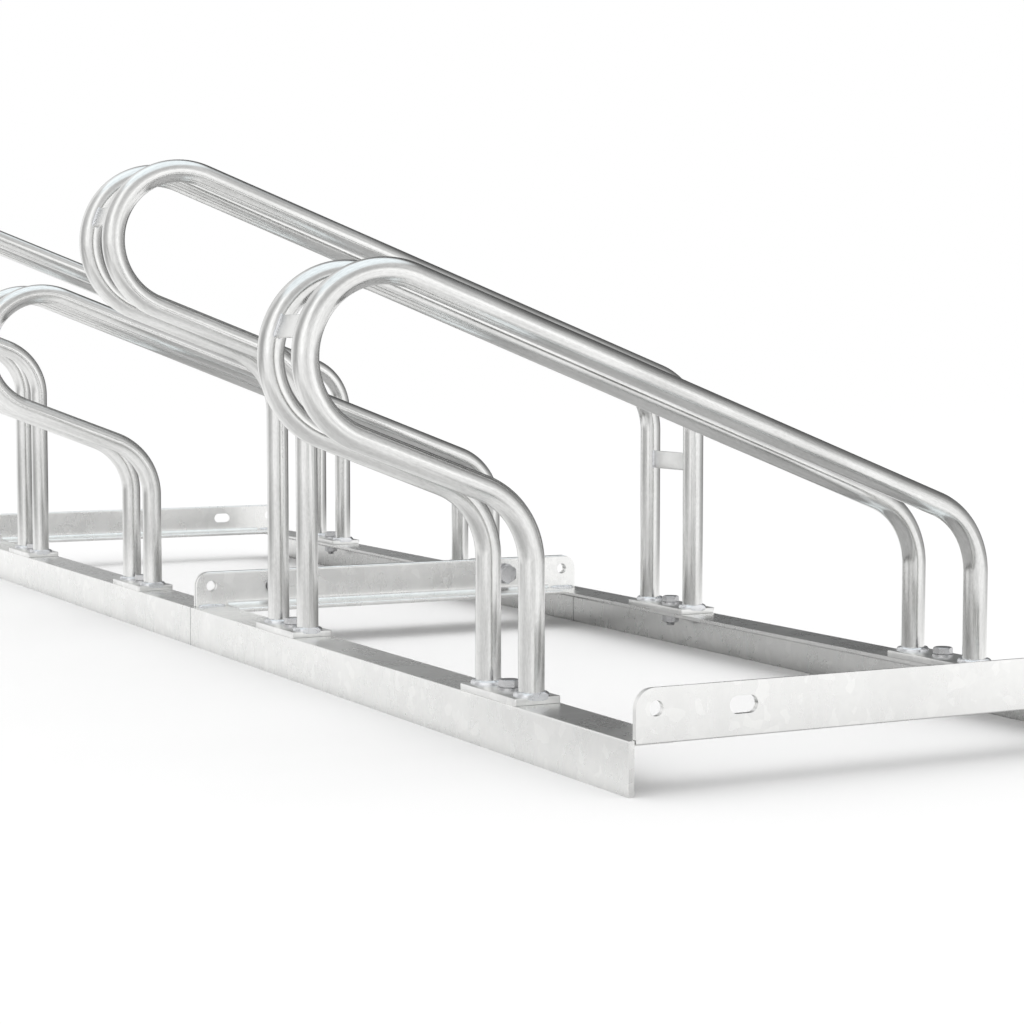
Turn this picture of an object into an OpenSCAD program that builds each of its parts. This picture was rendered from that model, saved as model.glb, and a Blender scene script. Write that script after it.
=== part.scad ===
// Hoop bike rack of two bolted modules, each with one low and one high wheel place.
// X runs along the row with the near end at low X, +Y is the side where the hoops
// lean out over the front wheel, and Z = 0 is the ground.

/* [Layout] */
// Distance between the centres of a module's two wheel places
pitch = 400; // [300:10:520]
// Distance from a module's near end to its first wheel place
near_margin = 194; // [140:1:260]
// Distance from a module's second wheel place to its far end
far_margin = 210; // [140:1:260]
// Depth of the base frame, outer face to outer face
base_depth = 405; // [360:5:480]
// Reach of the hoop noses beyond the base frame
nose_reach = 153; // [120:1:200]

/* [Angle sections] */
// Leg width of the steel angles
angle_leg = 35; // [30:1:44]
// Thickness of the steel angles
angle_t = 4; // [3:0.5:5]
// Outer radius at the heel of the angles
heel_r = 1; // [0.5:0.1:1.5]
// Inner radius at the root of the angles
root_r = 4; // [2:0.5:5]
// Radius at the toes of the angles
toe_r = 2; // [1:0.25:2.5]

/* [Cross rails] */
// Gap between a cross rail's end and the long rail's upright leg
cross_gap = 1; // [0.5:0.25:3]
// Radius of the two upper corners of a cross rail
cross_corner_r = 13; // [5:0.5:15]
// Height of a cross rail above the underside of the long rails' flanges
cross_lift = 1; // [0:0.25:1.5]
// Height of the round holes above a cross rail's lower face
hole_rise = 22; // [16:0.5:23]
// Diameter of the round holes
hole_d = 10; // [6:0.5:12]
// Place of the round holes, from the frame's outer face
hole_inset = 19.5; // [18:0.5:30]
// Height of the slots above a cross rail's lower face
slot_rise = 20; // [17:0.5:22]
// Length of the slots, end to end
slot_l = 21; // [16:0.5:30]
// Place of the slots, from the frame's outer face
slot_inset = 83; // [60:1:110]
// Clearance of a slot around its bolt, on each side
slot_clear = 0.75; // [0.5:0.25:1.5]

/* [Hoops] */
// Outer diameter of the hoop tube
tube_d = 18; // [15:0.5:22]
// Wall of the hoop tube
tube_wall = 2; // [1.5:0.25:3]
// Centreline radius of every bend
bend_r = 56; // [46:1:62]
// Slope of the slanting runs, in degrees
slope = 21; // [16:0.5:24]
// Top of the low hoops above the ground
low_hoop_h = 333; // [310:1:380]
// Extra height of the high hoops
high_step = 90; // [40:5:140]
// Tube spacing at the nose feet, centre to centre
nose_spacing = 65; // [58:1:76]
// Tube spacing at the entry feet, centre to centre
entry_spacing = 75; // [66:1:90]

/* [Ties] */
// Height of the nose ties, along the tube
nose_tie_h = 16; // [12:1:22]
// Height of the entry ties of the high hoops
entry_tie_h = 16; // [12:1:22]
// Thickness of the ties
tie_t = 3; // [2:0.5:5]
// Drop of an entry tie below the top of the straight leg
entry_tie_drop = 26.5; // [16:0.5:40]
// Gap between a tie's end and the tube, closed by the weld
tie_gap = 0.12; // [0.1:0.02:0.3]

/* [Foot plates] */
// Thickness of the foot plates
plate_t = 5; // [4:0.5:8]
// Length of a foot plate beyond the tube, at each end
plate_lip = 0.5; // [0:0.25:4]

/* [Foot fasteners] */
// Diameter of the foot bolts
foot_bolt_d = 8; // [6:0.5:9]
// Width across the flats of the foot bolt's head and nut
foot_hex_w = 13; // [11.5:0.5:15]
// Height of the foot bolt's head
foot_head_h = 5.3; // [4:0.1:7]
// Height of the foot nut
foot_nut_h = 6.5; // [5:0.1:8]
// Outer diameter of the foot washers
foot_washer_d = 16; // [15:0.5:20]
// Thickness of the foot washers
foot_washer_t = 1.6; // [1:0.1:2.5]
// Length of thread that stands out of the foot nut
foot_thread_out = 3; // [1:0.5:5]

/* [Seam fasteners] */
// Diameter of the seam bolts
seam_bolt_d = 10; // [8:0.5:12]
// Width across the flats of the seam bolt's head and nut
seam_hex_w = 17; // [15:0.5:19]
// Height of the seam bolt's head
seam_head_h = 6.4; // [5:0.1:8]
// Height of the seam nut
seam_nut_h = 8.4; // [6:0.1:10]
// Outer diameter of the seam washers
seam_washer_d = 20; // [19:0.5:23]
// Thickness of the seam washers
seam_washer_t = 2; // [1:0.1:3]
// Length of thread that stands out of the seam nut
seam_thread_out = 4; // [2:0.5:6]

/* [Hidden] */

// Overrun of every cut past the face that it opens
over = 1;
// Hairline slit between a straight run and a bend, bridged by a core inside the wall
slit = 0.05;
// Depth of the slit, from the surface down to its core
core_inset = 0.4;
// Reach of a core to each side of a bend's end
core_lap = 0.5;
// Clearance of a bolt in a drilled hole, on each side
bolt_clear = 0.5;
// Clearance of a bolt in a washer, on each side
washer_clear = 0.2;
// Clearance between a bolt and the thread crests of its nut
thread_clear = 0.05;

$fn = 64;
hex_sides = 6;

// Wheel places are counted from the near end; the even ones are high
places = [1:4];
near_side = -1;
far_side = 1;

module_l = near_margin + pitch + far_margin;
nose_y = (base_depth - nose_reach) / 2;
entry_y = nose_y - base_depth;
leg_inset = angle_leg / 2;
nose_leg_y = nose_y - leg_inset;
entry_leg_y = entry_y + leg_inset;
flange_z = angle_leg - angle_t;
cross_z = flange_z + cross_lift;
plate_z = angle_leg;
foot_z = plate_z + plate_t;
tube_r = tube_d / 2;
slot_z = cross_z + slot_rise;
slot_w = seam_bolt_d + 2 * slot_clear;
cross_inset = angle_t + cross_gap;

// The two tube planes of a pair stand apart a little more at the entry
leg_dy = nose_leg_y - entry_leg_y;
leg_dx = (entry_spacing - nose_spacing) / 2;
leg_span = norm([leg_dx, leg_dy]);
splay = asin(leg_dx / leg_span);

// Bend centres of a hoop in its own plane, measured from the nose leg
nose_u = nose_reach + leg_inset - bend_r - tube_r;
entry_run = (nose_u + leg_span - bend_r) / cos(slope);
lower_run = (nose_u + 2 * bend_r * sin(slope) - bend_r) / cos(slope);
function is_high(place) = place % 2 == 0;
function nose_z(place) = low_hoop_h + (is_high(place) ? high_step : 0) - bend_r - tube_r;
function entry_bend_z(place) = nose_z(place) - entry_run * sin(slope);
function lower_bend_z(place) = nose_z(place) - 2 * bend_r * cos(slope) - lower_run * sin(slope);
function place_x(place) = near_margin + (is_high(place) ? pitch : 0) + (place > 2 ? 0 : -module_l);

// Tube spacing at a distance u in front of the nose leg
function spacing_at(u) = nose_spacing - 2 * u * sin(splay);

// Removes a square corner at the origin outside the given radius
module corner_cut(r) {
    difference() {
        translate([-over, -over]) square(r + over);
        translate([r, r]) circle(r);
    }
}

// Fills an inner corner at the origin with the given radius
module corner_fill(r) {
    difference() {
        square(r);
        translate([r, r]) circle(r);
    }
}

// Rolled angle section with its heel at the origin and its legs along +x and +y
module angle_section() {
    difference() {
        union() {
            square([angle_leg, angle_t]);
            square([angle_t, angle_leg]);
            translate([angle_t, angle_t]) corner_fill(root_r);
        }
        corner_cut(heel_r);
        translate([angle_leg, angle_t]) rotate(180) corner_cut(toe_r);
        translate([angle_t, angle_leg]) rotate(180) corner_cut(toe_r);
    }
}

// Long rail of one module, from x = 0 to module_l, outer face at y = 0, flange towards -y
module long_rail() {
    color("gainsboro") difference() {
        translate([0, 0, angle_leg])
            rotate([-90, 0, -90]) linear_extrude(module_l) angle_section();
        for (x = [-over, module_l - angle_t])
            translate([x, -angle_leg - over, -over])
                cube([angle_t + over, angle_leg - angle_t + over, angle_leg + 2 * over]);
        for (x = [near_margin, near_margin + pitch])
            translate([x, -leg_inset, flange_z - over])
                cylinder(d = foot_bolt_d + 2 * bolt_clear, h = angle_t + 2 * over);
    }
}

module nose_rail(x) {
    translate([x, nose_y, 0]) long_rail();
}

module entry_rail(x) {
    translate([x, entry_y, 0]) mirror([0, 1, 0]) long_rail();
}

// Outline of a cross rail's upright leg with its two rounded upper corners
module cross_outline() {
    length = base_depth - 2 * cross_inset;
    difference() {
        square([length, angle_leg]);
        translate([0, angle_leg]) mirror([0, 1]) corner_cut(cross_corner_r);
        translate([length, angle_leg]) rotate(180) corner_cut(cross_corner_r);
    }
}

// Slot along the rail, centred on the origin and cut along z
module slot_hole() {
    depth = angle_t + 2 * over;
    reach = (slot_l - slot_w) / 2;
    for (y = [-reach, reach])
        translate([0, y, 0]) cylinder(d = slot_w, h = depth);
    translate([-slot_w / 2, -reach, 0]) cube([slot_w, 2 * reach, depth]);
}

// Cross rail with its outer face at x = 0 and its flange towards +x
module cross_rail() {
    flange_inset = angle_leg - cross_inset;
    length = base_depth - 2 * cross_inset;
    color("silver") translate([0, entry_y + cross_inset, cross_z]) difference() {
        intersection() {
            translate([0, length, 0]) rotate([90, 0, 0]) linear_extrude(length) angle_section();
            rotate([90, 0, 90]) linear_extrude(angle_leg) cross_outline();
        }
        for (y = [-over, length - flange_inset])
            translate([angle_t, y, -over])
                cube([angle_leg + over, flange_inset + over, angle_leg + 2 * over]);
        for (y = [hole_inset - cross_inset, length - hole_inset + cross_inset])
            translate([-over, y, hole_rise]) rotate([0, 90, 0])
                cylinder(d = hole_d, h = angle_t + 2 * over);
        for (y = [slot_inset - cross_inset, length - slot_inset + cross_inset])
            translate([-over, y, slot_rise]) rotate([0, 90, 0]) slot_hole();
    }
}

// Cross rail whose flange points to the far end
module cross_rail_far(x) {
    translate([x, 0, 0]) cross_rail();
}

// Cross rail whose flange points to the near end
module cross_rail_near(x) {
    translate([x, 0, 0]) mirror([1, 0, 0]) cross_rail();
}

// Puts a round shape that stands along z into the hoop's plane, at a point and an angle
module along(at, angle) {
    translate(at) rotate(angle) rotate([0, 90, 0]) children();
}

// Straight stretch of round bar; it starts past one slit and ends short of the next
module bar_run(diameter, from, angle, length, slit_before = slit) {
    along(from, angle)
        translate([0, 0, slit_before]) cylinder(d = diameter, h = length - slit_before - slit);
}

// Bend of round bar around a centre, with a core through the slit at each end
module bar_bend(diameter, centre, start, angle) {
    translate(centre) {
        rotate(start) rotate_extrude(angle = angle, $fn = 128)
            translate([bend_r, 0]) circle(d = diameter);
        for (a = [start, start + angle])
            along(bend_r * [cos(a), sin(a)], a + 90)
                cylinder(d = diameter - 2 * core_inset, h = 2 * core_lap, center = true);
    }
}

// Leg, bend and slanting run; the leg stands at u, its foot at base and its bend centre at z
module bar_arm(diameter, u, base, z, run) {
    centre = [u + bend_r, z];
    bar_run(diameter, [u, base], 90, z - base, 0);
    bar_bend(diameter, centre, 90 + slope, 90 - slope);
    bar_run(diameter, centre + bend_r * [-sin(slope), cos(slope)], slope, run);
}

// The whole bent line of a hoop, as a round bar
module hoop_bar(place, diameter, base) {
    bar_arm(diameter, -leg_span, base, entry_bend_z(place), entry_run);
    bar_bend(diameter, [nose_u, nose_z(place)], slope - 90, 180);
    bar_arm(diameter, 0, base, lower_bend_z(place), lower_run);
}

// Sets a shape drawn in a hoop's plane upright on its side of a wheel place
module on_hoop_side(place, side) {
    translate([place_x(place) + side * nose_spacing / 2, nose_leg_y, 0])
        rotate(side * splay) rotate([90, 0, 90]) children();
}

module hoop_tube(place, side) {
    color("lightsteelblue") on_hoop_side(place, side) difference() {
        hoop_bar(place, tube_d, foot_z);
        hoop_bar(place, tube_d - 2 * tube_wall, foot_z - over);
    }
}

// Flat between the noses of a pair, square to the slanting runs
module nose_tie(place) {
    apex = [nose_u + bend_r * cos(slope), nose_z(place) + bend_r * sin(slope)];
    length = spacing_at(apex[0] + tie_t) - tube_d - 2 * tie_gap;
    color("lightsteelblue")
        translate([place_x(place), nose_leg_y + apex[0] * cos(splay), apex[1]])
            rotate([slope, 0, 0]) cube([length, tie_t, nose_tie_h], center = true);
}

// Flat between the entry legs of a high pair
module entry_tie(place) {
    length = entry_spacing - tube_d - 2 * tie_gap;
    color("lightsteelblue")
        translate([place_x(place), entry_leg_y, entry_bend_z(place) - entry_tie_drop])
            cube([length, tie_t, entry_tie_h], center = true);
}

// Foot plate under two tube ends, with its middle at the origin
module foot_plate(spacing) {
    length = spacing + tube_d + 2 * plate_lip;
    color("silver") difference() {
        translate([-length / 2, -angle_leg / 2, 0]) cube([length, angle_leg, plate_t]);
        translate([0, 0, -over])
            cylinder(d = foot_bolt_d + 2 * bolt_clear, h = plate_t + 2 * over);
    }
}

module nose_plate(place) {
    translate([place_x(place), nose_leg_y, plate_z]) foot_plate(nose_spacing);
}

module entry_plate(place) {
    translate([place_x(place), entry_leg_y, plate_z]) foot_plate(entry_spacing);
}

// Hexagon prism of a given width across its flats
module hex_prism(width, height) {
    cylinder(d = width / cos(180 / hex_sides), h = height, $fn = hex_sides);
}

// Bolt with its seat at the origin, head upwards and shank downwards
module hex_bolt(diameter, width, head_h, length) {
    hex_prism(width, head_h);
    translate([0, 0, -length]) cylinder(d = diameter, h = length + head_h / 2);
}

module washer(diameter, bore, thickness) {
    difference() {
        cylinder(d = diameter, h = thickness);
        translate([0, 0, -over]) cylinder(d = bore, h = thickness + 2 * over);
    }
}

module hex_nut(width, bore, height) {
    difference() {
        hex_prism(width, height);
        translate([0, 0, -over]) cylinder(d = bore, h = height + 2 * over);
    }
}

// Puts a fastener on the middle of each foot plate, at the given height
module at_feet(z) {
    for (place = places)
        for (y = [nose_leg_y, entry_leg_y])
            translate([place_x(place), y, z]) children();
}

module foot_bolts() {
    length = plate_t + angle_t + 2 * foot_washer_t + foot_nut_h + foot_thread_out;
    color("darkgray") at_feet(foot_z + foot_washer_t)
        hex_bolt(foot_bolt_d, foot_hex_w, foot_head_h, length);
}

module foot_washers() {
    color("darkgray")
        for (z = [foot_z, flange_z - foot_washer_t])
            at_feet(z) washer(foot_washer_d, foot_bolt_d + 2 * washer_clear, foot_washer_t);
}

module foot_nuts() {
    color("darkgray") at_feet(flange_z - foot_washer_t - foot_nut_h)
        hex_nut(foot_hex_w, foot_bolt_d + 2 * thread_clear, foot_nut_h);
}

// Puts a seam fastener in the middle of each slot, its axis along -x, at the given x
module at_seam(x) {
    for (y = [entry_y + slot_inset, nose_y - slot_inset])
        translate([x, y, slot_z]) rotate([0, -90, 0]) children();
}

module seam_bolts() {
    length = 2 * angle_t + 2 * seam_washer_t + seam_nut_h + seam_thread_out;
    color("darkgray") at_seam(-angle_t - seam_washer_t)
        hex_bolt(seam_bolt_d, seam_hex_w, seam_head_h, length);
}

module seam_washers() {
    color("darkgray")
        for (x = [-angle_t, angle_t + seam_washer_t])
            at_seam(x) washer(seam_washer_d, seam_bolt_d + 2 * washer_clear, seam_washer_t);
}

module seam_nuts() {
    color("darkgray") at_seam(angle_t + seam_washer_t + seam_nut_h)
        hex_nut(seam_hex_w, seam_bolt_d + 2 * thread_clear, seam_nut_h);
}

nose_rail(-module_l);  // near_nose_rail
nose_rail(0);  // far_nose_rail
entry_rail(-module_l);  // near_entry_rail
entry_rail(0);  // far_entry_rail
cross_rail_far(-module_l);  // near_end_rail
cross_rail_near(0);  // near_seam_rail
cross_rail_far(0);  // far_seam_rail
cross_rail_near(module_l);  // far_end_rail
hoop_tube(1, near_side);  // hoop_1_near_tube
hoop_tube(1, far_side);  // hoop_1_far_tube
hoop_tube(2, near_side);  // hoop_2_near_tube
hoop_tube(2, far_side);  // hoop_2_far_tube
hoop_tube(3, near_side);  // hoop_3_near_tube
hoop_tube(3, far_side);  // hoop_3_far_tube
hoop_tube(4, near_side);  // hoop_4_near_tube
hoop_tube(4, far_side);  // hoop_4_far_tube
nose_tie(1);  // hoop_1_nose_tie
nose_tie(2);  // hoop_2_nose_tie
nose_tie(3);  // hoop_3_nose_tie
nose_tie(4);  // hoop_4_nose_tie
entry_tie(2);  // hoop_2_entry_tie
entry_tie(4);  // hoop_4_entry_tie
nose_plate(1);  // hoop_1_nose_plate
nose_plate(2);  // hoop_2_nose_plate
nose_plate(3);  // hoop_3_nose_plate
nose_plate(4);  // hoop_4_nose_plate
entry_plate(1);  // hoop_1_entry_plate
entry_plate(2);  // hoop_2_entry_plate
entry_plate(3);  // hoop_3_entry_plate
entry_plate(4);  // hoop_4_entry_plate
foot_bolts();
foot_washers();
foot_nuts();
seam_bolts();
seam_washers();
seam_nuts();
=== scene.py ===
import math

import bmesh
import bpy
from mathutils import Matrix, Vector, noise


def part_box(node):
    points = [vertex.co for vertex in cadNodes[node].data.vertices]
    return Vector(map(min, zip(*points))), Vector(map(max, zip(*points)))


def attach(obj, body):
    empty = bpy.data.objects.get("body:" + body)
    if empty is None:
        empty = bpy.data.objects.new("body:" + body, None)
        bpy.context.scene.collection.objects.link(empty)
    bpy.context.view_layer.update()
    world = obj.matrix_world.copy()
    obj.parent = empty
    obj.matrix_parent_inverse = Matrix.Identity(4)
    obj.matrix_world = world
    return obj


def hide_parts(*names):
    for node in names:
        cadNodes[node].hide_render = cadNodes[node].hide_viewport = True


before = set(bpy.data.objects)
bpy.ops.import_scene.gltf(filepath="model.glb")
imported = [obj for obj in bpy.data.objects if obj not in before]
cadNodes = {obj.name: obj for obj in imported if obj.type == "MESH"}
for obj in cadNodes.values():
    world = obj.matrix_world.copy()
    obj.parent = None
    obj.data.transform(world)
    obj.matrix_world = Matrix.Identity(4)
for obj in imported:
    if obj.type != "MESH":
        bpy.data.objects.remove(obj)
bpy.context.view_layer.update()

print("frame loaded with", len(cadNodes), "nodes")

# Camera at the photo's viewing angle: place and clipping in metres, turns in degrees, lens and sensor in
# millimetres
cameraView = {"place": (-2.008, 0.823, 0.2771), "tilt": 85.807, "turn": -117.135, "lens": 81.0,
              "sensor": 36, "nearest": 0.05, "furthest": 200}

cameraData = bpy.data.cameras.new("rackCamera")
cameraData.sensor_width = cameraView["sensor"]
cameraData.lens = cameraView["lens"]
cameraData.clip_start, cameraData.clip_end = cameraView["nearest"], cameraView["furthest"]
camera = bpy.data.objects.new("rackCamera", cameraData)
camera.location = cameraView["place"]
camera.rotation_euler = (math.radians(cameraView["tilt"]), 0, math.radians(cameraView["turn"]))
bpy.context.scene.collection.objects.link(camera)
bpy.context.scene.camera = camera
bpy.context.scene.view_settings.view_transform = "Standard"
print("camera placed")


class Wire:
    # One value in a node tree; sums and products of wires place the Math nodes
    def __init__(self, bench, socket):
        self.bench, self.socket = bench, socket

    def math(self, operation, *values):
        made = self.bench.node("ShaderNodeMath", {"operation": operation}, dict(enumerate(values)))
        return Wire(self.bench, made.outputs[0])

    def __add__(self, other):
        return self.math("ADD", self, other)

    def __radd__(self, other):
        return self.math("ADD", other, self)

    def __sub__(self, other):
        return self.math("SUBTRACT", self, other)

    def __rsub__(self, other):
        return self.math("SUBTRACT", other, self)

    def __mul__(self, other):
        return self.math("MULTIPLY", self, other)

    def __rmul__(self, other):
        return self.math("MULTIPLY", other, self)

    def __truediv__(self, other):
        return self.math("DIVIDE", self, other)

    def __rtruediv__(self, other):
        return self.math("DIVIDE", other, self)

    def __pow__(self, other):
        return self.math("POWER", self, other)

    def __rpow__(self, other):
        return self.math("POWER", other, self)

    def __abs__(self):
        return self.math("ABSOLUTE", self)

    def atMost(self, other):
        return self.math("MINIMUM", self, other)

    def atLeast(self, other):
        return self.math("MAXIMUM", self, other)

    def ramp(self, low, high):
        # 0 below low, 1 above high, smooth between
        made = self.bench.node("ShaderNodeMapRange", {"interpolation_type": "SMOOTHSTEP"},
                               {"Value": self, "From Min": low, "From Max": high})
        return Wire(self.bench, made.outputs["Result"])


class NodeBench:
    # A node tree, emptied, with one method that adds any node
    def __init__(self, tree):
        self.tree = tree
        tree.nodes.clear()

    def node(self, kind, settings=None, sockets=None):
        made = self.tree.nodes.new(kind)
        for name, value in (settings or {}).items():
            if name == "stops":
                stops = made.color_ramp.elements
                while len(stops) < len(value):
                    stops.new(1)
                for stop, (place, tone) in zip(stops, value):
                    stop.position, stop.color = place, (*tone, 1)
            else:
                setattr(made, name, value)
        for name, value in (sockets or {}).items():
            if isinstance(value, Wire):
                value = value.socket
            if isinstance(value, bpy.types.NodeSocket):
                self.tree.links.new(value, made.inputs[name])
            else:
                made.inputs[name].default_value = value
        return made

    def wire(self, made, output=0):
        return Wire(self, made.outputs[output])

    def axes(self, place):
        # The x, y and z of a place
        made = self.node("ShaderNodeSeparateXYZ", {}, {0: place})
        return [self.wire(made, number) for number in range(3)]

    def grain(self, place, scale, detail=2.0, roughness=0.5, stretch=None):
        # Noise around 0.5, with the place stretched per axis first
        if stretch:
            place = self.node("ShaderNodeMapping", {}, {"Vector": place, "Scale": stretch}).outputs[0]
        made = self.node("ShaderNodeTexNoise", {}, {"Vector": place, "Scale": scale, "Detail": detail,
                                                    "Roughness": roughness})
        return self.wire(made, "Fac")

    def cells(self, place, scale):
        # One random tone for each crystal of zinc
        made = self.node("ShaderNodeTexVoronoi", {}, {"Vector": place, "Scale": scale})
        return self.wire(self.node("ShaderNodeSeparateColor", {}, {0: made.outputs["Color"]}))

    def tint(self, share, first, second):
        # A colour between two, by a share from 0 to 1
        ends = [(*end, 1) if isinstance(end, tuple) else end for end in (first, second)]
        return self.node("ShaderNodeMix", {"data_type": "RGBA"}, {0: share, 6: ends[0], 7: ends[1]}).outputs[2]


def newMaterial(name):
    material = bpy.data.materials.new(name)
    material.use_nodes = True
    return material, NodeBench(material.node_tree)


# Plain pale studio with an even fill. With sheets at 1 the metal mirrors the tones below, and at 0 the same plain
# white that the camera sees. A rise is where one tone gives way to the next, from 0 level to 1 straight up.
studio = {"fill": 1.0, "sheets": 1.0, "ringTop": 1.25, "ringRise": (0.13, 0.46),
          "ceiling": 1.18, "ceilingRise": (0.74, 0.88), "ceilingTint": (0.9, 0.965, 1.0)}

# What the metal mirrors, as tones by degrees round from +X. Low ring: two sheets in front with a gap between
# them, dim sides, a sheet at the back left and a dark flag behind. High ring: dimmer from the front to the right.
rings = {
    "low": ((-180, 0.88), (-166, 1.2), (-150, 1.24), (-138, 1.0), (-125, 0.7), (-108, 0.46), (-88, 0.42),
            (-66, 0.23), (-45, 0.12), (-28, 0.14), (-12, 0.5), (10, 1.0), (30, 1.0), (50, 0.6), (68, 0.48),
            (86, 0.58), (104, 0.9), (120, 1.25), (140, 1.2), (155, 0.88), (167, 0.78), (180, 0.88)),
    "high": ((-180, 0.58), (-150, 0.66), (-138, 0.68), (-128, 0.6), (-118, 0.48), (-105, 0.34), (-90, 0.24),
             (-67, 0.16), (-50, 0.1), (-30, 0.14), (-12, 0.45), (8, 0.85), (30, 0.9), (60, 0.58),
             (88, 0.6), (108, 1.0), (120, 1.24), (135, 1.15), (152, 0.66), (180, 0.58)),
}


def ringTone(bench, name, x, y):
    share = x.math("ARCTAN2", y, x) / (2 * math.pi) + 0.5
    stops = [((degrees + 180) / 360, (level / studio["ringTop"],) * 3) for degrees, level in rings[name]]
    return bench.wire(bench.node("ShaderNodeValToRGB", {"stops": stops}, {0: share})) * studio["ringTop"]


def lookedAt(bench):
    # First 1 where the picture itself looks, then 1 where the metal mirrors
    light = bench.node("ShaderNodeLightPath")
    seen = bench.wire(light, "Is Camera Ray").atLeast(bench.wire(light, "Is Transmission Ray"))
    return seen, bench.wire(light, "Is Glossy Ray") * (1 - seen)


def makeWorld():
    world = bpy.data.worlds.new("studio")
    world.use_nodes = True
    bench = NodeBench(world.node_tree)
    x, y, z = bench.axes(bench.node("ShaderNodeTexCoord").outputs["Generated"])
    up, ceiling = z.ramp(*studio["ringRise"]), z.ramp(*studio["ceilingRise"])
    room = ringTone(bench, "low", x, y) * (1 - up) + ringTone(bench, "high", x, y) * up
    room = room * (1 - ceiling) + ceiling * studio["ceiling"]
    room = 1 + (room - 1) * studio["sheets"]
    seen, mirrored = lookedAt(bench)
    level = seen + mirrored * room + (1 - seen) * (1 - mirrored) * studio["fill"]
    colour = bench.tint(mirrored * ceiling * studio["sheets"], (1, 1, 1), studio["ceilingTint"])
    background = bench.node("ShaderNodeBackground", {}, {"Color": colour, "Strength": level})
    bench.node("ShaderNodeOutputWorld", {}, {"Surface": background.outputs[0]})
    world.cycles.sampling_method = "NONE"  # so that the light path is known wherever the backdrop is met
    bpy.context.scene.world = world


# The floor is white to the camera. In the metal its colour carries painted light and shade: painted shade between
# the rails and white beside them, more painted shade off the near nose corner, and far off the low ring's painted
# light and shade.
floorLook = {"size": 120, "pale": 0.52, "middleY": -0.0765, "rackX": 0.7, "rackY": 0.12, "farOff": (0.25, 1.3),
             "pool": 0.54, "poolX": (0.74, 1.12), "poolY": (0.18, 0.225),
             "corner": 0.35, "cornerX": ((-1.2, -0.8), (-0.65, -0.15)), "cornerY": (0.12, 0.26)}


def makeFloor():
    bpy.ops.object.select_all(action="DESELECT")
    bpy.ops.mesh.primitive_plane_add(size=floorLook["size"], location=(0, 0, 0))
    floor = bpy.context.object
    floor.name = "studioFloor"
    material, bench = newMaterial("paleFloor")
    x, y = bench.axes(bench.node("ShaderNodeTexCoord").outputs["Object"])[:2]
    asideX, asideY = abs(x), abs(y - floorLook["middleY"])
    pastX = (asideX - floorLook["rackX"]).atLeast(0.0)
    pastY = (asideY - floorLook["rackY"]).atLeast(0.0)
    far = ((pastX * pastX + pastY * pastY) ** 0.5).ramp(*floorLook["farOff"])
    # painted light and shade: far off, the floor as the metal mirrors it takes the low ring's tones
    tone = 1 - far + ringTone(bench, "low", x, y) * far
    rise, fall = floorLook["cornerX"]
    # painted shade off the near nose corner, seen only in the metal
    corner = x.ramp(*rise) * (1 - x.ramp(*fall)) * y.ramp(*floorLook["cornerY"])
    beside = asideX.ramp(*floorLook["poolX"]).atLeast(asideY.ramp(*floorLook["poolY"]))
    # painted shade between the rails, white beside them, seen only in the metal
    tone = (tone - corner * floorLook["corner"]) * (floorLook["pool"] + beside * (1 - floorLook["pool"]))
    tone = 1 + (tone.atMost(1.0) - 1) * studio["sheets"]
    seen, mirrored = lookedAt(bench)
    pale = (1 - seen) * (1 - mirrored) * floorLook["pale"]
    colour = bench.tint(seen + mirrored * tone + pale, (0, 0, 0), (1, 1, 1))
    matt = bench.node("ShaderNodeBsdfDiffuse", {}, {"Color": colour})
    bench.node("ShaderNodeOutputMaterial", {}, {"Surface": matt.outputs[0]})
    floor.data.materials.append(material)


lamps = {
    "keyLamp": {"place": (-3.6, -1.6, 1.4), "aim": (0, -0.1, 0.1), "size": (2.2, 1.2), "power": 3},
    "topLamp": {"place": (-0.6, 0.4, 4.0), "aim": (0, 0, 0), "size": (3.0, 3.0), "power": 6},
}


def makeLamps():
    for name, lamp in lamps.items():
        data = bpy.data.lights.new(name, "AREA")
        data.shape, data.energy = "RECTANGLE", lamp["power"]
        data.size, data.size_y = lamp["size"]
        made = bpy.data.objects.new(name, data)
        made.location = lamp["place"]
        made.rotation_euler = (Vector(lamp["aim"]) - Vector(lamp["place"])).to_track_quat("-Z", "Y").to_euler()
        made.visible_camera = made.visible_glossy = False
        bpy.context.scene.collection.objects.link(made)


makeWorld()
makeFloor()
makeLamps()
print("stage made")


def around(middle, weights, layers):
    # The middle value, moved by each layer's swing about a half
    for name, weight in weights.items():
        middle = middle + (layers[name] - 0.5) * weight
    return middle


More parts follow.
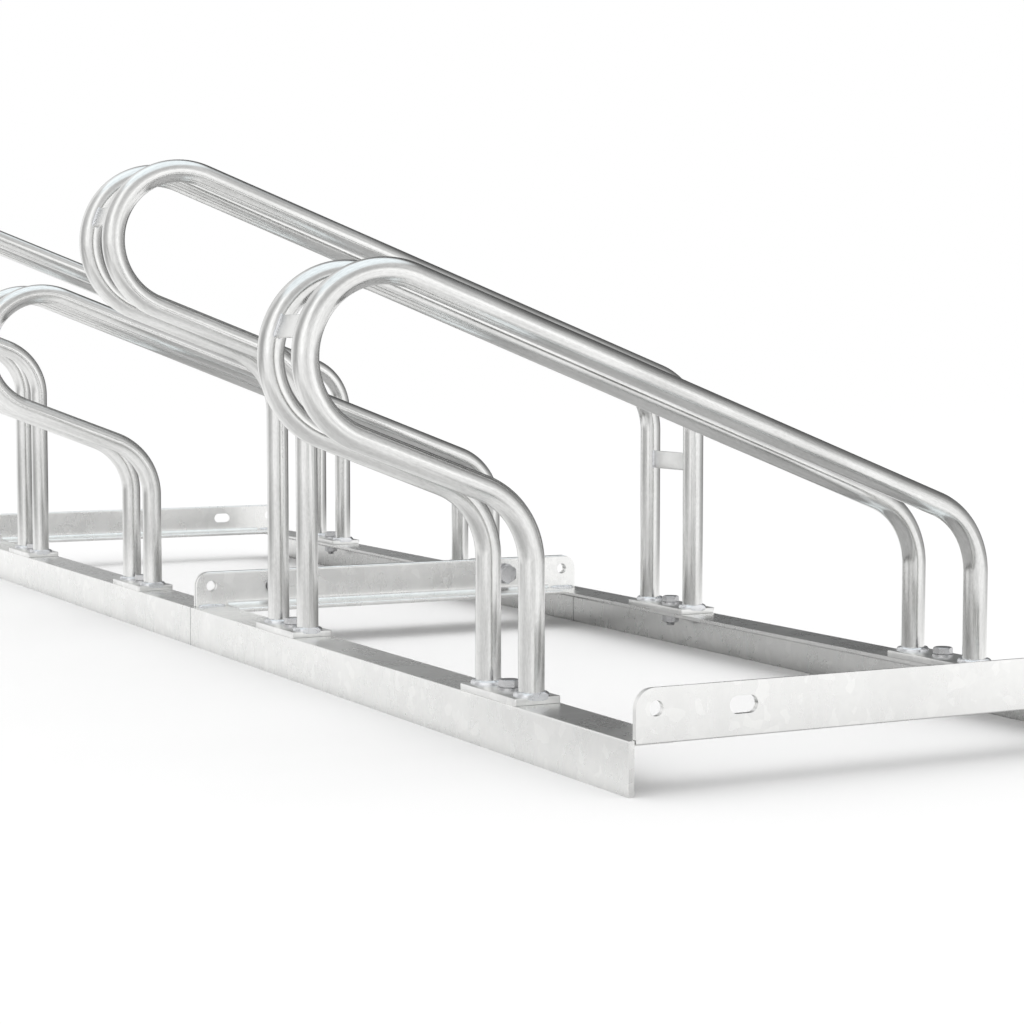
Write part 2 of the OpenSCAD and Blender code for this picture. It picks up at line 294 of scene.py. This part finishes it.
def makeZinc(name, finish):
    # A noise is given as its scale, detail, roughness and stretch, and "By" is how far each layer moves a value
    material, bench = newMaterial(name)
    if "attribute" in finish:
        place = bench.node("ShaderNodeAttribute", {"attribute_name": finish["attribute"]}).outputs["Vector"]
    else:
        place = bench.node("ShaderNodeTexCoord").outputs["Object"]
    layers = {layer: bench.grain(place, *values) for layer, values in finish["noises"].items()}
    if "crystals" in finish:
        drift = bench.node("ShaderNodeTexNoise", {}, {"Vector": place, "Scale": finish["drift"], "Detail": 2.0})
        away = bench.node("ShaderNodeVectorMath", {"operation": "SCALE"},
                          {0: drift.outputs["Color"], "Scale": finish["driftBy"]})
        bent = bench.node("ShaderNodeVectorMath", {"operation": "ADD"}, {0: place, 1: away.outputs[0]}).outputs[0]
        for layer, scale in finish["crystals"].items():
            layers[layer] = bench.cells(bent, scale)
        layers["flower"] = layers["patch"].ramp(*finish["flowers"])  # some crystals stay bright
        layers["joint"] = 1 - abs(bench.axes(place)[0]).ramp(*finish["jointWide"])
    share = around(finish["tone"], finish["toneBy"], layers).atLeast(0.0).atMost(1.0)
    colour = bench.tint(share, finish["dark"], finish["light"])
    # painted shadow line where the two modules meet, at x = 0; the joint layer also cuts a groove into the bump
    if "joint" in layers:
        colour = bench.tint(layers["joint"] * finish["jointShadowShare"], colour, finish["jointShadowTone"])
    bump = bench.node("ShaderNodeBump", {}, {"Height": around(0.0, finish["reliefBy"], layers),
                                             "Distance": finish["deep"], "Strength": finish["strength"]})
    shader = bench.node("ShaderNodeBsdfPrincipled", {}, {
        "Base Color": colour, "Metallic": 1.0, "Roughness": around(finish["rough"], finish["roughBy"], layers),
        "Normal": bump.outputs[0]})
    bench.node("ShaderNodeOutputMaterial", {}, {"Surface": shader.outputs[0]})
    return material


# Dipped zinc on the angles: pale clouds, soft crystal patches, short runs, small pimples, and a shadow line at
# x = 0, where the two modules meet
angleZinc = {"noises": {"cloud": (22, 3.0), "run": (14, 2.0, 0.5, (10, 10, 1.4)), "wave": (70, 1.0),
                        "grain": (1100, 1.0)},
             "crystals": {"patch": 125, "spangle": 300}, "drift": 60.0, "driftBy": 0.012, "flowers": (0.84, 0.88),
             "dark": (0.86, 0.86, 0.85), "light": (0.98, 0.98, 0.965), "tone": 0.575,
             "toneBy": {"cloud": 1.4, "patch": 0.16, "spangle": 0.14, "flower": 0.3, "run": 0.35},
             "rough": 0.28, "roughBy": {"cloud": 0.1, "patch": 0.015, "run": 0.04},
             "reliefBy": {"wave": 1.0, "grain": 0.07, "joint": -3.0}, "deep": 0.00007, "strength": 0.5,
             "jointWide": (0.0004, 0.0016), "jointShadowShare": 0.8, "jointShadowTone": (0.4, 0.4, 0.4)}
plateZinc = {**angleZinc, "noises": {**angleZinc["noises"], "cloud": (40, 3.0)},
             "crystals": {"patch": 150, "spangle": 300}, "rough": 0.32}

# Tube zinc: satin, with streaks along the run; the tube's own straightened place is in its runPlace attribute
tubeZinc = {"attribute": "runPlace",
            "noises": {"streak": (340, 3.0, 0.6, (1, 1, 0.03)), "wide": (60, 3.0, 0.55, (1, 1, 0.18)),
                       "fleck": (900, 1.0, 0.5, (1, 1, 0.3))},
            "dark": (0.66, 0.66, 0.65), "light": (0.93, 0.93, 0.92), "tone": 0.5,
            "toneBy": {"wide": 2.0, "streak": 1.5, "fleck": 0.8},
            "rough": 0.17, "roughBy": {"wide": 0.2, "streak": 0.12},
            "reliefBy": {"streak": 0.3, "fleck": 0.2, "wide": 0.6}, "deep": 0.00008, "strength": 0.5}

# Fasteners and beads
fastenerZinc = {"noises": {"cloud": (160, 3.0), "fine": (2600, 2.0)},
                "dark": (0.5, 0.5, 0.51), "light": (0.74, 0.74, 0.75), "tone": 0.5,
                "toneBy": {"cloud": 1.1, "fine": 0.3}, "rough": 0.3, "roughBy": {"cloud": 0.25, "fine": 0.1},
                "reliefBy": {"fine": 0.6, "cloud": 1.0}, "deep": 0.0001, "strength": 0.6}
beadZinc = {**fastenerZinc, "noises": {"cloud": (260, 3.0), "fine": (1400, 2.0)},
            "dark": (0.72, 0.73, 0.75), "light": (0.93, 0.94, 0.96)}

railMetal = makeZinc("galvanisedAngle", angleZinc)
plateMetal = makeZinc("galvanisedPlate", plateZinc)
tubeMetal = makeZinc("galvanisedTube", tubeZinc)
fastenerMetal = makeZinc("zincFastener", fastenerZinc)
beadMetal = makeZinc("galvanisedBead", beadZinc)
print("finishes made")

mergeAt = 0.000001  # corners nearer to each other than this become one


def deselect():
    if bpy.context.mode != "OBJECT":
        bpy.ops.object.mode_set(mode="OBJECT")
    bpy.ops.object.select_all(action="DESELECT")


def pick(piece):
    deselect()
    bpy.context.view_layer.objects.active = piece
    piece.select_set(True)


def edit(kind="VERT"):
    bpy.ops.object.mode_set(mode="EDIT")
    bpy.ops.mesh.select_mode(type=kind)


def chooseEdges(test):
    # Selects the edges of the mesh in edit mode that pass the test
    bpy.ops.mesh.select_all(action="DESELECT")
    data = bpy.context.object.data
    mesh = bmesh.from_edit_mesh(data)
    for edge in mesh.edges:
        if test(edge):
            edge.select_set(True)
    mesh.select_flush_mode()
    bmesh.update_edit_mesh(data)


def nextRing(shape):
    # Extrudes the chosen ring and sets each new corner by the shape
    bpy.ops.mesh.extrude_region_move()
    data = bpy.context.object.data
    mesh = bmesh.from_edit_mesh(data)
    for corner in mesh.verts:
        if corner.select:
            corner.co = shape(corner.co)
    bmesh.update_edit_mesh(data)


def tidyMesh():
    bpy.ops.mesh.select_all(action="SELECT")
    bpy.ops.mesh.remove_doubles(threshold=mergeAt)
    bpy.ops.mesh.normals_make_consistent(inside=False)
    bpy.ops.object.mode_set(mode="OBJECT")


def applyModifier(piece, kind, **settings):
    pick(piece)
    modifier = piece.modifiers.new(kind.title(), kind)
    for name, value in settings.items():
        setattr(modifier, name, value)
    bpy.ops.object.modifier_apply(modifier=modifier.name)


def smooth(piece, degrees):
    pick(piece)
    bpy.ops.object.shade_smooth_by_angle(angle=math.radians(degrees))


def copyAt(piece, matrix):
    made = piece.copy()
    made.data = piece.data.copy()
    made.data.transform(matrix)
    bpy.context.scene.collection.objects.link(made)
    return made


def joined(pieces):
    deselect()
    for piece in pieces:
        piece.select_set(True)
    bpy.context.view_layer.objects.active = pieces[0]
    bpy.ops.object.join()
    return bpy.context.object


def settle(piece, name, material, nodes=()):
    # Its place goes into its mesh, and it rides on the rack
    pick(piece)
    bpy.ops.object.transform_apply(location=True, rotation=True, scale=True)
    piece.name = name
    piece.data.name = name
    piece.data.materials.clear()
    piece.data.materials.append(material)
    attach(piece, "root")
    if nodes:
        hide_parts(*nodes)


# Layout of the rack, in metres
rack = {"placesX": (-0.610, -0.210, 0.194, 0.594), "noseLegY": 0.1085, "entryLegY": -0.2615, "footZ": 0.040,
        "plateZ": 0.035, "flangeZ": 0.031, "slotZ": 0.052, "seamY": (-0.196, 0.043), "noseY": 0.126,
        "entryY": -0.279, "endX": 0.804, "legThick": 0.004}

# Bent tubes, low and high in turn
hoop = {"radius": 0.009, "bend": 0.056, "slope": math.radians(21), "tops": (0.333, 0.423), "noseU": 0.1055,
        "noseSpacing": 0.065, "entrySpacing": 0.075, "corners": 48, "bendSteps": 22, "uBendSteps": 56,
        "smooth": 40}
legSpan = math.hypot((hoop["entrySpacing"] - hoop["noseSpacing"]) / 2, rack["noseLegY"] - rack["entryLegY"])
splay = math.asin((hoop["entrySpacing"] - hoop["noseSpacing"]) / 2 / legSpan)


def hoopLine(top):
    # Straights as (start, direction, length) and bends as (centre, start angle, sweep), from the entry foot on
    bend, slope = hoop["bend"], hoop["slope"]
    noseZ = top - bend - hoop["radius"]
    entryRun = (hoop["noseU"] + legSpan - bend) / math.cos(slope)
    lowerRun = (hoop["noseU"] + 2 * bend * math.sin(slope) - bend) / math.cos(slope)
    entryZ = noseZ - entryRun * math.sin(slope)
    lowerZ = noseZ - 2 * bend * math.cos(slope) - lowerRun * math.sin(slope)
    up, along = Vector((0, 1)), Vector((math.cos(slope), math.sin(slope)))
    out = Vector((-math.sin(slope), math.cos(slope)))
    entryCentre, noseCentre = Vector((bend - legSpan, entryZ)), Vector((hoop["noseU"], noseZ))
    lowerCentre = Vector((bend, lowerZ))
    quarter = math.pi / 2 - slope
    return [("straight", Vector((-legSpan, rack["footZ"])), up, entryZ - rack["footZ"]),
            ("bend", entryCentre, math.pi, -quarter),
            ("straight", entryCentre + out * bend, along, entryRun),
            ("bend", noseCentre, math.pi / 2 + slope, -math.pi),
            ("straight", noseCentre - out * bend, -along, lowerRun),
            ("bend", lowerCentre, math.pi / 2 + slope, quarter),
            ("straight", Vector((0, lowerZ)), -up, lowerZ - rack["footZ"])]


def runPlace(point, line):
    # Place of a surface point on the tube as if the tube were straight: across, outwards and along
    best, along = None, 0.0
    flat = Vector((point.y, point.z))
    for kind, start, second, third in line:
        offset = flat - start
        if kind == "straight":
            way = min(max(offset.dot(second), 0), third)
            side = offset.dot(Vector((-second.y, second.x)))
            gap = (offset - second * way).length
            length = third
        else:
            turn = math.copysign(1, third)
            angle = (math.atan2(offset.y, offset.x) - second) * turn % (2 * math.pi)
            if angle > math.pi + 1:  # just before the bend, so nearest to its start
                angle = 0
            angle = min(angle, abs(third))
            way = angle * hoop["bend"]
            side = (hoop["bend"] - offset.length) * turn
            onAxis = Vector((math.cos(second + turn * angle), math.sin(second + turn * angle))) * hoop["bend"]
            gap = (offset - onAxis).length
            length = abs(third) * hoop["bend"]
        if best is None or gap < best[0] - 1e-7:
            best = (gap, (point.x, side, along + way))
        along += length
    return best[1]


def makeHoop(top):
    # The whole tube, bent in the plane x = 0 with its nose leg at the origin
    line = hoopLine(top)
    deselect()
    bpy.ops.mesh.primitive_circle_add(vertices=hoop["corners"], radius=hoop["radius"],
                                      location=(0, line[0][1].x, line[0][1].y))
    tube = bpy.context.object
    bpy.ops.object.transform_apply(location=True)
    edit()
    bpy.ops.mesh.select_all(action="SELECT")
    for kind, start, second, third in line:
        if kind == "straight":
            step = second * third
            bpy.ops.mesh.extrude_region_move(TRANSFORM_OT_translate={"value": (0, step.x, step.y)})
        else:
            steps = hoop["uBendSteps"] if abs(third) > math.pi / 2 else hoop["bendSteps"]
            bpy.ops.mesh.spin(steps=steps, angle=-third, center=(0, start.x, start.y), axis=(1, 0, 0))
    bpy.ops.mesh.select_all(action="SELECT")
    bpy.ops.mesh.remove_doubles(threshold=mergeAt)
    bpy.ops.mesh.fill_holes(sides=0)
    tidyMesh()
    smooth(tube, hoop["smooth"])
    attribute = tube.data.attributes.new("runPlace", "FLOAT_VECTOR", "POINT")
    for corner, value in zip(tube.data.vertices, attribute.data):
        value.vector = runPlace(corner.co, line)
    return tube


hoopShapes = [makeHoop(top) for top in hoop["tops"]]
for place, x in enumerate(rack["placesX"], 1):
    for side, word in ((-1, "Near"), (1, "Far")):
        stand = Matrix.Translation((x + side * hoop["noseSpacing"] / 2, rack["noseLegY"], 0))
        tube = copyAt(hoopShapes[(place + 1) % 2], stand @ Matrix.Rotation(side * splay, 4, "Z"))
        settle(tube, f"hoop{place}{word}Tube", tubeMetal,
               [f"hoop_{place}_{word.lower()}_tube"])
for shape in hoopShapes:
    bpy.data.objects.remove(shape)
print("tubes bent")

# Flat pieces with softened edges: foot plates and ties
flat = {"plateThick": 0.005, "plateDeep": 0.035, "plateLip": 0.0005, "tieThick": 0.003, "tieHigh": 0.016,
        "tieGap": 0.00012, "entryTieDrop": 0.0265, "corner": 0.0012, "cornerCuts": 3, "edge": 0.0005,
        "edgeCuts": 2, "edgeAngle": 50, "smooth": 40}


def makeFlat(size, cornerAxis):
    # A bar of the given size at the origin, its corners along one axis rounder than its other edges
    def alongAxis(edge):
        return abs((edge.verts[0].co - edge.verts[1].co).normalized()[cornerAxis]) > 0.9

    deselect()
    bpy.ops.mesh.primitive_cube_add(size=1, location=(0, 0, 0))
    bar = bpy.context.object
    edit("EDGE")
    bpy.ops.mesh.select_all(action="SELECT")
    bpy.ops.transform.resize(value=size)
    chooseEdges(alongAxis)
    bpy.ops.mesh.bevel(offset=flat["corner"], segments=flat["cornerCuts"], affect="EDGES")
    tidyMesh()
    applyModifier(bar, "BEVEL", width=flat["edge"], segments=flat["edgeCuts"], limit_method="ANGLE",
                  angle_limit=math.radians(flat["edgeAngle"]))
    smooth(bar, flat["smooth"])
    return bar


def spacingAt(u):
    # Between the axes of a pair of tubes, at a distance from the nose legs towards the noses
    return hoop["noseSpacing"] - 2 * u * math.sin(splay)


for end, spacing, y in (("nose", hoop["noseSpacing"], rack["noseLegY"]),
                        ("entry", hoop["entrySpacing"], rack["entryLegY"])):
    length = spacing + 2 * hoop["radius"] + 2 * flat["plateLip"]
    pattern = makeFlat((length, flat["plateDeep"], flat["plateThick"]), 2)
    for place, x in enumerate(rack["placesX"], 1):
        plate = copyAt(pattern, Matrix.Translation((x, y, rack["plateZ"] + flat["plateThick"] / 2)))
        settle(plate, f"hoop{place}{end.title()}Plate", plateMetal,
               [f"hoop_{place}_{end}_plate"])
    bpy.data.objects.remove(pattern)

slope, bend = hoop["slope"], hoop["bend"]
apexU = hoop["noseU"] + bend * math.cos(slope)
for place, x in enumerate(rack["placesX"], 1):
    top = hoop["tops"][(place + 1) % 2]
    apexZ = top - bend - hoop["radius"] + bend * math.sin(slope)
    width = spacingAt(apexU + flat["tieThick"]) - 2 * hoop["radius"] - 2 * flat["tieGap"]
    tie = makeFlat((width, flat["tieThick"], flat["tieHigh"]), 0)
    tie.location = (x, rack["noseLegY"] + apexU * math.cos(splay), apexZ)
    tie.rotation_euler = (slope, 0, 0)
    settle(tie, f"hoop{place}NoseTie", plateMetal, [f"hoop_{place}_nose_tie"])
    if place % 2 == 0:
        entryZ = hoopLine(top)[1][1].y
        width = hoop["entrySpacing"] - 2 * hoop["radius"] - 2 * flat["tieGap"]
        tie = makeFlat((width, flat["tieThick"], flat["tieHigh"]), 0)
        tie.location = (x, rack["entryLegY"], entryZ - flat["entryTieDrop"])
        settle(tie, f"hoop{place}EntryTie", plateMetal, [f"hoop_{place}_entry_tie"])
print("plates and ties made")

# Hexagon bolts with rolled threads, and nuts, chamfered at their corners
footFastener = {"thread": 0.008, "flats": 0.013, "head": 0.0053, "nut": 0.0065, "washer": 0.0016,
                "grip": 0.009, "out": 0.003, "pitch": 0.00125}
seamFastener = {"thread": 0.010, "flats": 0.017, "head": 0.0064, "nut": 0.0084, "washer": 0.002,
                "grip": 0.008, "out": 0.004, "pitch": 0.0015}
hexagon = {"corners": 48, "face": 0.475, "chamfer": math.radians(30), "dish": 0.9, "dishDeep": 0.0001,
           "seat": 0.0003, "boreGap": 0.00005, "boreEdge": 0.0005, "smooth": 32}
# How the thread is cut: slices a pitch, depth in pitches, flank width, slices to full depth and the turned point
rolled = {"plain": 0.001, "slices": 7, "deep": 0.55, "flank": 1.25, "runIn": 3, "point": 0.6, "pointDrop": 0.0006}


def hexRing(flats, level, drop=0.0):
    # A hexagon whose corners fall away from the level by the chamfer
    def shape(co):
        angle = math.atan2(co.y, co.x) % (2 * math.pi)
        radius = flats / 2 / math.cos(angle % (math.pi / 3) - math.pi / 6)
        fall = (radius - hexagon["face"] * flats) * math.tan(hexagon["chamfer"])
        return Vector((radius * math.cos(angle), radius * math.sin(angle), level - drop * fall))
    return shape


def roundRing(radius, level, pitch=0.0, deep=0.0):
    # A circle, or a slice of thread where a pitch is given
    def shape(co):
        angle = math.atan2(co.y, co.x) % (2 * math.pi)
        turn = (level / pitch + angle / (2 * math.pi)) % 1 if pitch else 0.5
        cut = deep * min(1, abs(2 * turn - 1) * rolled["flank"]) if pitch else 0
        return Vector(((radius - cut) * math.cos(angle), (radius - cut) * math.sin(angle), level))
    return shape


def startRing(radius, level):
    deselect()
    bpy.ops.mesh.primitive_circle_add(vertices=hexagon["corners"], radius=radius, location=(0, 0, 0))
    piece = bpy.context.object
    edit()
    bpy.ops.mesh.select_all(action="SELECT")
    bpy.ops.transform.translate(value=(0, 0, level))
    return piece


def makeBolt(kind):
    # Seat of the head at the origin, shank downwards
    reach = kind["grip"] + 2 * kind["washer"] + kind["nut"] + kind["out"]
    radius, face, pitch = kind["thread"] / 2, hexagon["face"] * kind["flats"], kind["pitch"]
    bolt = startRing(face * hexagon["dish"], kind["head"] - hexagon["dishDeep"])
    rings = [roundRing(face, kind["head"]), hexRing(kind["flats"], kind["head"], 1),
             hexRing(kind["flats"], hexagon["seat"]), roundRing(face, 0.0), roundRing(radius, 0.0)]
    start = -(reach - kind["out"] - rolled["plain"])
    rings.append(roundRing(radius, start))
    slices = int((reach + start) / pitch * rolled["slices"])
    for step in range(1, slices + 1):
        level = start - (reach + start) * step / slices
        tip = min(1, (level + reach) / (rolled["point"] * pitch))  # the point is turned down a little
        deep = rolled["deep"] * pitch * min(1, step / rolled["runIn"])
        rings.append(roundRing(radius - (1 - tip) * rolled["pointDrop"], level, pitch, deep))
    for ring in rings:
        nextRing(ring)
    bpy.ops.mesh.select_all(action="SELECT")
    bpy.ops.mesh.fill_holes(sides=0)
    tidyMesh()
    smooth(bolt, hexagon["smooth"])
    return bolt


def makeNut(kind):
    # Lower face at the origin
    bore, high = kind["thread"] / 2 + hexagon["boreGap"], kind["nut"]
    face, edge = hexagon["face"] * kind["flats"], hexagon["boreEdge"]
    nut = startRing(bore, high / 2)
    for ring in (roundRing(bore, edge), roundRing(bore + edge, 0.0), roundRing(face, 0.0),
                 hexRing(kind["flats"], 0.0, -1), hexRing(kind["flats"], high, 1),
                 roundRing(face, high), roundRing(bore + edge, high), roundRing(bore, high - edge),
                 roundRing(bore, high / 2)):
        nextRing(ring)
    tidyMesh()
    smooth(nut, hexagon["smooth"])
    return nut


feet = [(x, y) for x in rack["placesX"] for y in (rack["noseLegY"], rack["entryLegY"])]
headZ = rack["footZ"] + footFastener["washer"]
nutZ = rack["flangeZ"] - footFastener["washer"] - footFastener["nut"]
footSpots = {"footBolts": [Matrix.Translation((x, y, headZ)) for x, y in feet],
             "footNuts": [Matrix.Translation((x, y, nutZ)) for x, y in feet]}
sideways = Matrix.Rotation(-math.pi / 2, 4, "Y")
headX = -rack["legThick"] - seamFastener["washer"]
nutX = rack["legThick"] + seamFastener["washer"] + seamFastener["nut"]
seamSpots = {"seamBolts": [Matrix.Translation((headX, y, rack["slotZ"])) @ sideways for y in rack["seamY"]],
             "seamNuts": [Matrix.Translation((nutX, y, rack["slotZ"])) @ sideways for y in rack["seamY"]]}
for kind, spots in ((footFastener, footSpots), (seamFastener, seamSpots)):
    for name, places in spots.items():
        pattern = makeBolt(kind) if name.endswith("Bolts") else makeNut(kind)
        whole = joined([copyAt(pattern, spot) for spot in places])
        settle(whole, name, fastenerMetal, [name.replace("B", "_b").replace("N", "_n")])
        bpy.data.objects.remove(pattern)
print("fasteners made")

# Weld beads, laid in overlapping ripples. A swell is its plain size, and what the ripple and the lumps add.
footBead = {"path": 0.0097, "size": 0.0029, "ripples": 20, "slant": 90, "swell": (0.86, 0.13, 0.22),
            "lumps": 1.6, "rise": 0.0003, "flush": 0.0097, "past": 0.06, "rings": 100, "sides": 14}
barBead = {"slant": 0.07, "swell": (0.9, 0.08, 0.2), "lumps": 2.5, "blunt": 5, "tip": 0.02, "pole": 0.9999,
           "rings": 56, "sides": 14}
tieBead = {"size": 0.0016, "length": 0.0165, "ripples": 8, "out": 0.0002, "proud": 0.0003}
cornerBead = {"size": 0.0023, "length": 0.026, "ripples": 11, "inX": 0.0048, "inY": 0.0195, "rise": 0.0003}
beadSmooth = 60


def wobble(x, y, seed, size):
    return noise.noise(Vector((x * size + seed * 7.3, y * size - seed * 3.1, seed * 1.7)))


def makeFootBead(seed, side):
    # A ring round a tube's foot, cut off flush with the end of its plate
    plain, rippled, lumpy = footBead["swell"]
    deselect()
    bpy.ops.mesh.primitive_torus_add(major_radius=footBead["path"], minor_radius=footBead["size"],
                                     major_segments=footBead["rings"], minor_segments=footBead["sides"],
                                     location=(0, 0, 0))
    ring = bpy.context.object
    for corner in ring.data.vertices:
        x, y, z = corner.co
        angle = math.atan2(y, x)
        out = math.hypot(x, y) - footBead["path"]
        ripple = abs(math.sin((angle + z * footBead["slant"]) * footBead["ripples"] / 2))
        lump = wobble(math.cos(angle), math.sin(angle), seed, footBead["lumps"])
        swell = plain + rippled * ripple + lumpy * lump
        away = footBead["path"] + out * swell
        x, y = away * math.cos(angle), away * math.sin(angle)
        if side * x > footBead["flush"]:
            x = side * (footBead["flush"] + (side * x - footBead["flush"]) * footBead["past"])
        corner.co = (x, y, z * swell)
    smooth(ring, beadSmooth)
    return ring


def makeStraightBead(bead, seed):
    # A bead along x with rounded ends
    plain, rippled, lumpy = barBead["swell"]
    deselect()
    bpy.ops.mesh.primitive_uv_sphere_add(segments=barBead["sides"], ring_count=barBead["rings"], radius=1,
                                         location=(0, 0, 0))
    piece = bpy.context.object
    for corner in piece.data.vertices:
        x, y, z = corner.co
        along = math.asin(max(-1, min(1, z))) / (math.pi / 2)
        thick = 0
        if abs(z) < barBead["pole"]:
            thick = (1 - abs(along) ** barBead["blunt"]) ** 0.5 / max(barBead["tip"], math.hypot(x, y))
        ripple = abs(math.sin((along + x * barBead["slant"]) * math.pi * bead["ripples"] / 2))
        lump = wobble(along, 0, seed, barBead["lumps"])
        swell = bead["size"] * thick * (plain + rippled * ripple + lumpy * lump)
        corner.co = (along * bead["length"] / 2, x * swell, y * swell)
    pick(piece)
    edit()
    tidyMesh()
    smooth(piece, beadSmooth)
    return piece


def placedBead(piece, matrix):
    piece.data.transform(matrix)
    return piece


beads = []
for place, x in enumerate(rack["placesX"], 1):
    for spacing, y in ((hoop["noseSpacing"], rack["noseLegY"]), (hoop["entrySpacing"], rack["entryLegY"])):
        for side in (-1, 1):
            spot = Matrix.Translation((x + side * spacing / 2, y, rack["footZ"] + footBead["rise"]))
            beads.append(placedBead(makeFootBead(place + side * 0.3 + y * 5, side), spot))
settle(joined(beads), "footBeads", beadMetal)

beads = []
upright = Matrix.Rotation(math.pi / 2, 4, "Y")
for place, x in enumerate(rack["placesX"], 1):
    ties = [f"hoop_{place}_nose_tie"] + ([f"hoop_{place}_entry_tie"] if place % 2 == 0 else [])
    for tieName in ties:
        lowest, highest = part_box(tieName)
        middle = (lowest + highest) / 2
        lean = Matrix.Rotation(hoop["slope"] if "nose" in tieName else 0, 4, "X")
        edge = (highest.x - lowest.x) / 2 + tieBead["out"]
        for side in (-1, 1):
            for face in (-1, 1):
                spot = Matrix.Translation((side * edge, face * (flat["tieThick"] / 2 + tieBead["proud"]), 0))
                bead = makeStraightBead(tieBead, place + side * 0.4 + face * 0.15)
                beads.append(placedBead(bead, Matrix.Translation(middle) @ lean @ spot @ upright))
settle(joined(beads), "tieBeads", beadMetal)

beads = []
acrossRails = Matrix.Rotation(math.pi / 2, 4, "Z")
for number, (x, side) in enumerate(((-rack["endX"], 1), (0, -1), (0, 1), (rack["endX"], -1))):
    for y, inward in ((rack["noseY"], -1), (rack["entryY"], 1)):
        spot = Matrix.Translation((x + side * cornerBead["inX"], y + inward * cornerBead["inY"],
                                   rack["plateZ"] + cornerBead["rise"]))
        bead = makeStraightBead(cornerBead, number + inward * 0.2)
        beads.append(placedBead(bead, spot @ acrossRails))
settle(joined(beads), "cornerBeads", beadMetal)
print("weld beads laid")

for name, node in cadNodes.items():
    if node.hide_render:
        continue
    node.data.materials.clear()
    node.data.materials.append(railMetal if name.endswith("rail") else fastenerMetal)
print("rails and washers finished")
